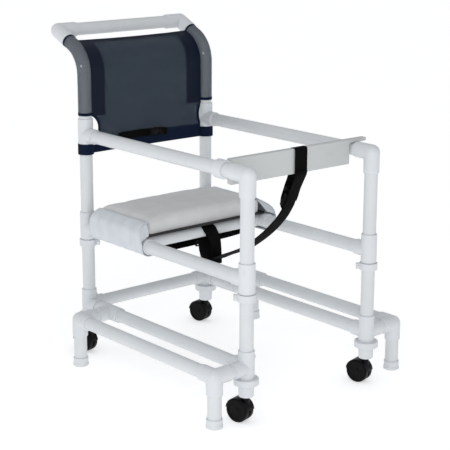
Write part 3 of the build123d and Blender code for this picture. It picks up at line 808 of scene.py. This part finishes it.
class CHAIR_OT_flaps(bpy.types.Operator):
    """Hang the creased vinyl flaps from the cushion, round the seat rails and under them"""

    bl_idname = "chair.flaps"
    bl_label = "Side flaps"

    def execute(self, context):
        cloth = settings("chair_cloth")
        low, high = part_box("seat_flaps")
        deep = high.y - low.y
        for s in SIDES:
            self.flap(s, low.y, deep, cloth.creases)
        return {"FINISHED"}

    def flap(self, s, front, deep, creases):
        wrap = HUB_R + 0.0014
        edge, top = CUSHION_HIGH.x, CUSHION_HIGH.z
        bend = [(wrap * math.cos(a), -wrap * math.sin(a)) for a in (0.0, 0.5, 1.0, math.pi / 2)]
        outline = [(edge - 0.010, top - 0.0105), (edge - 0.001, top - 0.0085), (edge + 0.008, top - 0.014),
                   (POST_X + 0.0195, top - 0.032), (POST_X + wrap - 0.001, SEAT_Z + 0.030)]
        outline += [(POST_X + x, SEAT_Z + z) for x, z in bend]
        outline += [(POST_X - 0.009, SEAT_Z - wrap + 0.0004), (POST_X - 0.018, SEAT_Z - wrap - 0.0006)]
        route = Route([(x, 0, z) for x, z in outline])
        # the front edge is turned in by this much, to close the end over the rail
        turned_in = 0.034
        corner = Route([(turned_in, 0.0010, 0), (0.008, 0, 0), (0.0016, 0.0025, 0), (0, 0.010, 0),
                        (0, deep / 2, 0), (0, deep, 0)])
        dice = random.Random(11 if s < 0 else 23)
        folds = []
        for _ in range(creases):
            # place, width, height, lean, and where down the flap it peaks and how far it spreads
            folds.append((dice.uniform(0.0, 1.0), dice.uniform(0.006, 0.016), dice.uniform(0.0012, 0.0042),
                          dice.uniform(-0.05, 0.05), dice.uniform(0.20, 0.55), dice.uniform(0.22, 0.5)))

        def place(u, v):
            # u runs from the front edge to the back, v from the cushion's edge to the end under the rail
            at = route.at(v)
            along = route.along(v)
            out = Vector((-along.z, 0, along.x)) if along.z < 0 else Vector((along.z, 0, -along.x))
            if v > 0.8:
                out = Vector((0.2, 0, -1)).normalized()
            swell = 0.0
            for centre, width, height, lean, peak, spread in folds:
                offset = (u - centre - lean * (v - 0.5)) * deep / width
                swell += height * math.exp(-offset * offset) * math.exp(-((v - peak) / spread) ** 2)
            swell += 0.0016 * math.sin(u * 31 + v * 3) * math.sin(math.pi * v) ** 2 + 0.0016
            swell *= min(1.0, v / 0.16) ** 1.5
            fold = corner.at(u)
            above = min(max((at.z - SEAT_Z - 0.020) / 0.012, 0.05), 1.0)
            rise = min(max((at.z - SEAT_Z - 0.017) / 0.042, 0.0), 1.15)
            drawn = 0.050 * rise ** 2.5 if s > 0 else 0.020 * rise
            back = drawn * max(0.0, 1 - u * 1.6) + 0.0020 * math.sin(v * 19 + s) * max(0.0, 1 - u * 9)
            x = at.x + out.x * swell
            stop = (CUSHION_HIGH if at.z > BOARD_TOP.z else BOARD_TOP).x + 0.001
            x = max(x - fold.x * above, min(x, stop))
            z = at.z + out.z * swell
            y = front + fold.y + back
            return Vector((s * x, y, z))

        name = "seat_flap_" + SIDE_NAMES[s]
        bm = bent_grid(124, 60, (corner.length, route.length), place)
        piece = new_piece(name, bm, "flap", "seat", recalc=True)
        thicken(piece, 0.0014)
        hem = self.hem(name + "_stitching", s, place)
        if s < 0:
            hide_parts("seat_flaps")
        return piece

    def hem(self, name, s, place):
        """Stitches along the flap's front edge."""
        points = [place(0.12, i / 14) + Vector((s * 0.0009, 0, 0)) for i in range(1, 11)]
        row = stitches(name, points, lambda share: (s, 0, 0.1), "seat")
        row.data.materials[0] = FINISHES["flap"]
        return row


class CHAIR_OT_sling(bpy.types.Operator):
    """Stretch the mesh back between the posts, with its sleeves, bands, hem and bindings"""

    bl_idname = "chair.sling"
    bl_label = "Mesh back"

    def execute(self, context):
        cloth = settings("chair_cloth")
        self.inner = POST_X - PIPE_R - 0.0008
        self.bottom = cloth.sling_bottom - BEND_Z
        self.window_top = cloth.sleeve_bottom
        self.tee_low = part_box("rear_arm_tees")[0].z
        self.window_low = self.tee_low + 0.0235
        self.window_half = {-1: cloth.window, 1: cloth.window_left}
        pieces = []
        for s in SIDES:
            pieces += self.side(s, cloth)
        hem_top = self.bottom + cloth.hem
        pieces.append(self.strip("sling_hem", self.bottom, hem_top, CLOTH_GAP, "binding"))
        pieces.append(self.strip("sling_hem_back", self.bottom, hem_top, -CLOTH_GAP, "binding"))
        pieces.append(self.strip("sling_top_hem", TOP_RUN - 0.020, TOP_RUN - 0.001, 0.0009, "double"))
        for side, forward in (("", 0.0019), ("_back", -0.0019)):
            for number, run in enumerate((0.004, cloth.hem - 0.004)):
                name = f"hem_stitching{side}_{number}"
                pieces.append(self.stitch_row(name, self.bottom + run, forward))
        pieces.append(self.stitch_row("top_hem_stitching", TOP_RUN - 0.018, 0.0014))
        wide, deep = 2 * self.inner, TOP_RUN - self.bottom
        panel = self.panel(wide, deep)
        window = math.pi / 4 * sum(self.window_half.values()) * (self.window_top - self.window_low)
        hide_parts("back_sling")
        wide * deep - window
        return {"FINISHED"}

    def sag(self, x, run):
        """How far the panel hangs back between the posts, with faint pulls from the sleeves."""
        share = max(0.0, 1 - (x / self.inner) ** 2)
        ripple = math.sin(run * 46 + 3 * math.sin(x * 17))
        pull = 0.0007 * ripple * (1 - share) * (1 - abs(x) / self.inner) * 4
        return -(0.004 * share + pull * share)

    def panel(self, wide, deep):
        def place(u, v):
            x = (u - 0.5) * wide
            run = self.bottom + v * deep
            return back_place(x, run, self.sag(x, run))

        bm = bent_grid(110, 90, (wide, deep), place)
        self.cut_windows(bm)
        return new_piece("sling_panel", bm, "mesh", "frame")

    def window_centre(self, s):
        return Vector((s * POST_X, REAR_Y, (self.window_top + self.window_low) / 2))

    def window_point(self, s, turn, grow=0.0):
        centre = self.window_centre(s)
        half = (self.window_top - self.window_low) / 2 + grow
        return centre + Vector((-s * (self.window_half[s] + grow) * math.cos(turn), 0, half * math.sin(turn)))

    def cut_windows(self, bm):
        """Take out the cloth round each arm tee and draw the cut's edge onto a clean ellipse."""
        half = (self.window_top - self.window_low) / 2
        for s in SIDES:
            centre, half_wide = self.window_centre(s), self.window_half[s]

            def reach(point):
                return math.hypot((point.x - centre.x) / half_wide, (point.z - centre.z) / half)

            inside = [f for f in bm.faces if reach(f.calc_center_median()) < 1.0]
            bmesh.ops.delete(bm, geom=inside, context="FACES")
            for vert in bm.verts:
                near = reach(vert.co)
                if near < 1.12 and vert.is_boundary and abs(vert.co.x) < self.inner - 0.001:
                    vert.co.x = centre.x + (vert.co.x - centre.x) / near
                    vert.co.z = centre.z + (vert.co.z - centre.z) / near

    def round_post(self, s):
        def place(run, turn, radius):
            y, z, lean = on_back(run)
            x = s * POST_X + radius * math.cos(turn)
            out = radius * math.sin(turn)
            return Vector((x, y - out * math.cos(lean), z + out * math.sin(lean)))
        return place

    def side(self, s, cloth):
        """Sleeve, double band, bindings and arm window of one side."""
        name = SIDE_NAMES[s]
        around = self.round_post(s)
        start = cloth.sleeve_bottom - BEND_Z
        radius = PIPE_R + CLOTH_GAP

        def wrinkle(u, run):
            gather = math.exp(-((run - 0.055) / 0.05) ** 2)
            front = 0.5 + 0.5 * math.sin(2 * math.pi * u)
            return 0.0004 + 0.0009 * gather * (1 - front) * (1 + math.sin(run * 420 + 2 * math.sin(6.3 * u)))

        sleeve = tube("sling_sleeve_" + name, around, radius, start, TOP_RUN, "sleeve", 90, wrinkle)
        tape, tape_r = 0.009, radius + 0.0011
        low_tape = tube("sleeve_binding_low_" + name, around, tape_r, start - 0.001, start + tape,
                        "binding", 4)
        top_tape = tube("sleeve_binding_top_" + name, around, tape_r, TOP_RUN - tape * 0.7, TOP_RUN + 0.001,
                        "binding", 4)
        ring = tube("sling_post_band_" + name, around, HUB_R + CLOTH_GAP, self.bottom,
                    self.tee_low + 0.026 - BEND_Z, "binding", 10)
        if s < 0:
            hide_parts("sling_sleeves")
            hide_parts("sling_post_bands")
        return [sleeve, low_tape, top_tape, ring, *self.band(s, cloth), self.window_binding(s)]

    def band(self, s, cloth):
        """Double layer of mesh beside the sleeve, with two rows of stitches."""
        name = SIDE_NAMES[s]
        start, end = cloth.band_bottom - BEND_Z, TOP_RUN - 0.002
        wide = cloth.band

        def place(u, v, forward=0.0011):
            x = s * (self.inner - u * wide)
            run = start + (end - start) * v
            return back_place(x, run, self.sag(x, run) + forward)

        def place_behind(u, v):
            return place(u, v, -0.0011)

        pieces = []
        for label, where in (("sling_band_", place), ("sling_band_behind_", place_behind)):
            bm = bent_grid(12, 70, (wide, end - start), where)
            pieces.append(new_piece(label + name, bm, "double", "frame"))
        for number, u in enumerate((0.05, 0.95)):
            points = [place(u, i / 24) + Vector((0, -0.0007, 0)) for i in range(25)]
            pieces.append(stitches(f"band_stitching_{name}_{number}", points, lambda share: (0, -1, 0.2),
                                   "frame"))
        return pieces

    def window_binding(self, s):
        """Tape folded over the cut edge round the arm tee, front and back."""
        points = []
        for i in range(19):
            turn = math.radians(-78 + 156 * i / 18)
            at = self.window_point(s, turn, 0.0035)
            if abs(at.x) < self.inner + 0.004:
                points.append(at - Vector((0, self.sag(at.x, 0.0), 0)))
        route = Route(points)
        return ribbon("window_binding_" + SIDE_NAMES[s], route, 0.008, lambda v: (0, -1, 0), "frame",
                      "binding", thickness=0.0034, cells=4, pitch=0.004)

    def strip(self, name, start, end, forward, finish):
        """Band right across the panel between two runs."""
        wide = 2 * (self.inner + 0.001)

        def place(u, v):
            x = (u - 0.5) * wide
            run = start + (end - start) * v
            ripple = 0.0004 * math.sin(x * 58) * math.sin(math.pi * v)
            return back_place(x, run, self.sag(x, run) + forward + ripple)

        return new_piece(name, bent_grid(90, 8, (wide, end - start), place), finish, "frame")

    def stitch_row(self, name, run, forward):
        points = []
        for i in range(41):
            x = (i / 40 - 0.5) * 2 * (self.inner - 0.004)
            points.append(back_place(x, run, self.sag(x, run) + forward))
        side = math.copysign(1, forward)
        return stitches(name, points, lambda share: (0, -side, 0), "frame")


def bar_route():
    """Webbing over the front seat bar and down in front of it, leaning to the left as it hangs."""
    bar_y, bar_z = ahead(BAR_AHEAD), SEAT_Z
    hug = PIPE_R + 0.0013
    points = [(0.006, bar_y + 0.008, bar_z - 0.034), (0.010, bar_y + 0.019, bar_z - 0.012)]
    for angle in (10, 45, 80, 115, 150):
        a = math.radians(angle)
        points.append((0.013, bar_y + hug * math.cos(a), bar_z + hug * math.sin(a)))
    points += past(0, bar_z, (0.022, 0.3078, -0.001), (0.034, 0.3078, -0.021), (0.043, 0.3060, -0.046),
                   (0.0495, 0.3020, -0.096), (0.0510, 0.3010, -0.121))
    return Route(points)


class CHAIR_OT_straps(bpy.types.Operator):
    """Make the crotch strap, its loop over the gate, the bar strap and the tie strap"""

    bl_idname = "chair.straps"
    bl_label = "Straps"

    def execute(self, context):
        straps = settings("chair_straps")
        self.tie()
        self.bar()
        self.crotch(straps)
        self.gate_loop(straps)
        return {"FINISHED"}

    def tie(self):
        """Strap under the seat that pulls the two flaps together."""
        low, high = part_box("flap_tie_strap")
        z = (low.z + high.z) / 2
        y = (low.y + high.y) / 2
        points = []
        for i in range(9):
            share = i / 8
            x = low.x + (high.x - low.x) * share
            dip = 0.0120 * math.sin(math.pi * share) ** 0.7 + 0.0012 * math.sin(9 * share)
            points.append((x, y + 0.003 * math.sin(5 * share), z - dip))
        route = Route(points)

        def facing(v):
            return (0, -0.14 - 0.14 * math.sin(3 * v + 1), 1)

        strap = ribbon("flap_tie_webbing", route, 0.040, facing, "seat", thickness=0.0017)
        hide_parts("flap_tie_strap")

    def bar(self):
        """Webbing that hangs from the front seat bar, with the second layer behind it."""
        route = bar_route()

        def facing(v):
            if v < 0.5:
                at = route.at(v)
                return (0, at.y - ahead(BAR_AHEAD), at.z - SEAT_Z)
            return (-0.12 * (v - 0.5), -1, 0.1)

        front = ribbon("bar_webbing", route, 0.047, facing, "seat", pitch=0.004)
        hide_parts("bar_strap")
        back = Route(past(0, SEAT_Z, (0.006, 0.287, -0.026), (0.006, 0.2950, -0.038),
                          (0.006, 0.2985, -0.058), (0.013, 0.2985, -0.078),
                          (0.024, 0.2985, -0.096), (0.038, 0.2980, -0.114)))
        behind = ribbon("bar_webbing_back", back, 0.050, lambda v: (-0.1, -1, 0.25), "seat", pitch=0.004)

    def crotch(self, straps):
        """Lower half of the crotch strap, from the bar strap up to its buckle."""
        points = past(straps.place, 0, (0.0205, 0.3035, 0.340), (0.0205, 0.322, 0.3480),
                      (0.0200, 0.357, 0.365), (0.0190, 0.412, 0.389), (0.0175, 0.471, 0.419),
                      (0.0135, 0.555, 0.478), (0.0105, 0.619, 0.536), (0.0070, 0.657, 0.582),
                      (0.0057, 0.6705, 0.608))
        route = Route(points)

        def facing(v):
            return (-0.15 * (1 - v), -0.4, -1 + 1.1 * v)

        strap = ribbon("crotch_webbing", route, straps.width - 0.002, facing, None, cells=10,
                       edge_roll=0.0010)
        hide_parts("crotch_strap")
        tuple(points[-2])
        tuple(points[1])
        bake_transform(strap)

    def gate_loop(self, straps):
        """Upper half: looped over the gate board, down its back face and through the slider."""
        board_low, board_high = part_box("gate_board")
        x = straps.place
        top = board_high.z - 0.0035
        # the loop's depth is the board's, with a layer of strap on each face
        board_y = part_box("gate_strap")[0].y + (0.020 + 2 * 0.0028) / 2
        half_y, foot = 0.0118, board_low.z + 0.0005
        points = [(x, board_y + half_y, foot + 0.004), (x, board_y + half_y, (foot + top) / 2),
                  (x, board_y + half_y, top - 0.006), (x, board_y + half_y * 0.6, top + 0.0005),
                  (x, board_y - half_y * 0.6, top + 0.0005), (x, board_y - half_y, top - 0.006),
                  (x, board_y - half_y, (foot + top) / 2), (x, board_y - half_y, foot + 0.004),
                  (x, board_y - half_y * 0.5, foot - 0.003), (x, board_y + half_y * 0.5, foot - 0.003)]
        loop = Route(points, closed=True)

        def facing(v):
            at = loop.at(v)
            return (0, at.y - board_y, (at.z - (foot + top) / 2) * 0.25)

        band = ribbon("gate_webbing", loop, straps.width, facing, "gate", pitch=0.004, closed=True, cells=10)
        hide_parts("gate_strap")
        back_y = board_y + half_y
        front_y = board_y - half_y
        tail = Route([(x, front_y - 0.0019, foot + 0.012), (x + 0.0004, front_y - 0.0010, foot - 0.003),
                      *past(x, 0, (0.0020, 0.7030, 0.665), (0.0035, 0.690, 0.641),
                            (0.0050, 0.680, 0.618), (0.0060, 0.672, 0.603))])
        hanging = ribbon("gate_webbing_tail", tail, straps.width - 0.001, lambda v: (0, -1, 0.3), "gate",
                         edge_roll=0.0008)
        second = Route([(x - 0.0025, back_y + 0.0018, foot + 0.008),
                        (x - 0.0030, back_y + 0.0060, foot - 0.012),
                        *past(x, 0, (-0.0035, 0.676, 0.655), (-0.0015, 0.660, 0.622),
                              (0.0025, 0.6535, 0.600), (0.0060, 0.6590, 0.586))])
        spare = ribbon("gate_webbing_spare", second, straps.width - 0.002, lambda v: (0, -1, 0.35), "gate",
                       edge_roll=0.0008)


def side_release_buckle(name, place, width, length, thick, body, node):
    """Side release buckle: a socket with side latches, and a plug with its strap bar. Along is +Y."""
    bm = bmesh.new()

    def add(size, at, rounding, tilt=0.0):
        block(bm, Vector(size), Matrix.Translation(at) @ Matrix.Rotation(tilt, 4, "Z"), rounding)

    half = width / 2
    add((width * 0.80, length * 0.46, thick), (0, length * 0.20, 0), thick * 0.30)
    add((width * 0.46, length * 0.56, thick * 0.80), (0, length * 0.04, 0), thick * 0.25)
    for s in SIDES:
        add((width * 0.13, length * 0.36, thick * 0.72), (s * half * 0.84, length * 0.03, 0), thick * 0.22,
            s * 0.12)
        for ridge in range(4):
            add((width * 0.030, length * 0.018, thick * 0.62),
                (s * half * 0.985, length * (0.10 - 0.05 * ridge), 0), thick * 0.06)
        add((width * 0.10, length * 0.26, thick * 0.80), (s * half * 0.86, -length * 0.29, 0), thick * 0.2)
        add((width * 0.09, length * 0.20, thick * 0.80), (s * half * 0.74, length * 0.40, 0), thick * 0.2)
    add((width * 0.88, length * 0.11, thick * 0.85), (0, -length * 0.18, 0), thick * 0.25)
    for y in (-0.30, -0.41, 0.40, 0.47):
        add((width * 0.86, length * 0.055, thick * 0.55), (0, length * y, 0), thick * 0.18)
    bmesh.ops.transform(bm, matrix=place, verts=bm.verts)
    piece = new_piece(name, bm, "buckle", body, recalc=True)
    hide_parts(node)


def strap_slider(name, place, width, deep, thick, body):
    """Three-bar slider that a strap's spare end goes through."""
    bm = bmesh.new()
    bars = [(Vector((width, deep * 0.24, thick)), (0, y * deep * 0.8, 0)) for y in (-0.5, 0.0, 0.5)]
    bars += [(Vector((width * 0.09, deep, thick)), (s * width * 0.46, 0, 0)) for s in SIDES]
    for size, at in bars:
        block(bm, size, Matrix.Translation(at), thick * 0.3)
    bmesh.ops.transform(bm, matrix=place, verts=bm.verts)
    new_piece(name, bm, "buckle", body, recalc=True)


def turned(at, along, out):
    """Matrix of a place whose Y runs along a direction and whose Z looks out."""
    along = Vector(along).normalized()
    out = square_to(along, out)
    return frame_of(at, along.cross(out), along, out)


class CHAIR_OT_buckles(bpy.types.Operator):
    """Make the buckle and slider of the crotch strap, and the slider of the bar strap"""

    bl_idname = "chair.buckles"
    bl_label = "Buckles"

    def execute(self, context):
        x = settings("chair_straps").place
        place = turned((x - 0.001, ahead(0.669), 0.616), (0, -0.42, 0.9), (0, -0.9, -0.4))
        side_release_buckle("crotch_strap_buckle", place, 0.056, 0.050, 0.012, "gate", "crotch_buckle")
        place = turned((x - 0.002, ahead(0.686), 0.656), (0, -0.43, 0.90), (0, -0.90, -0.43))
        strap_slider("crotch_strap_slider", place, 0.060, 0.016, 0.0055, "gate")
        place = turned((0.000, ahead(0.290), SEAT_Z - 0.040), (0.05, 0.1, 1.0), (0, -1, 0.1))
        strap_slider("bar_strap_slider", place, 0.058, 0.018, 0.0055, "seat")
        return {"FINISHED"}


class CHAIR_OT_belt(bpy.types.Operator):
    """Lay the waist belt and its buckle along the sling's hem"""

    bl_idname = "chair.belt"
    bl_label = "Waist belt"

    def execute(self, context):
        low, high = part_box("waist_belt")
        z = (low.z + high.z) / 2 - 0.006
        y = (low.y + high.y) / 2 - 0.001
        points = []
        for i in range(9):
            share = i / 8
            points.append((low.x + (high.x - low.x) * share, y - 0.0018 * math.sin(7 * share) - 0.001,
                           z + 0.002 * math.sin(4.2 * share) - 0.002 * share))
        route = Route(points)
        strap = ribbon("waist_webbing", route, high.z - low.z, lambda v: (0, -1, 0.15), "frame", cells=6)
        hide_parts("waist_belt")
        low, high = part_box("waist_belt_buckle")
        at = (low + high) / 2 - Vector((0, 0, 0.008))
        side_release_buckle("waist_buckle", turned(at, (-1, 0, 0.03), (0, -1, 0.1)), 0.026,
                            high.x - low.x, 0.008, "frame", "waist_belt_buckle")
        return {"FINISHED"}


PIECES = (CHAIR_OT_stage, CHAIR_OT_finishes, CHAIR_OT_boards, CHAIR_OT_cushion, CHAIR_OT_flaps,
          CHAIR_OT_sling, CHAIR_OT_straps, CHAIR_OT_buckles, CHAIR_OT_belt)
GROUPS = {"chair_tones": ChairTones, "chair_cloth": ChairCloth, "chair_straps": ChairStraps,
          "chair_studio": ChairStudio}


class CHAIR_PT_panel(bpy.types.Panel):
    """Lists the operators and settings of the walker chair"""

    bl_idname = "CHAIR_PT_panel"
    bl_label = "Walker chair"
    bl_space_type = "VIEW_3D"
    bl_region_type = "UI"
    bl_category = "Walker chair"

    def draw(self, context):
        for piece in PIECES:
            self.layout.operator(piece.bl_idname)
        for group, kind in GROUPS.items():
            box = self.layout.box()
            for value in kind.__annotations__:
                box.prop(getattr(context.scene, group), value)


def register():
    for kind in (*GROUPS.values(), *PIECES, CHAIR_PT_panel):
        bpy.utils.register_class(kind)
    for name, kind in GROUPS.items():
        setattr(bpy.types.Scene, name, PointerProperty(type=kind))


def unregister():
    for name in GROUPS:
        delattr(bpy.types.Scene, name)
    for kind in reversed((*GROUPS.values(), *PIECES, CHAIR_PT_panel)):
        bpy.utils.unregister_class(kind)


def main():
    register()
    bpy.ops.chair.stage()
    bpy.ops.chair.finishes()
    bpy.ops.chair.boards()
    bpy.ops.chair.cushion()
    bpy.ops.chair.flaps()
    bpy.ops.chair.sling()
    bpy.ops.chair.straps()
    bpy.ops.chair.buckles()
    bpy.ops.chair.belt()


if __name__ == "__main__":
    main()
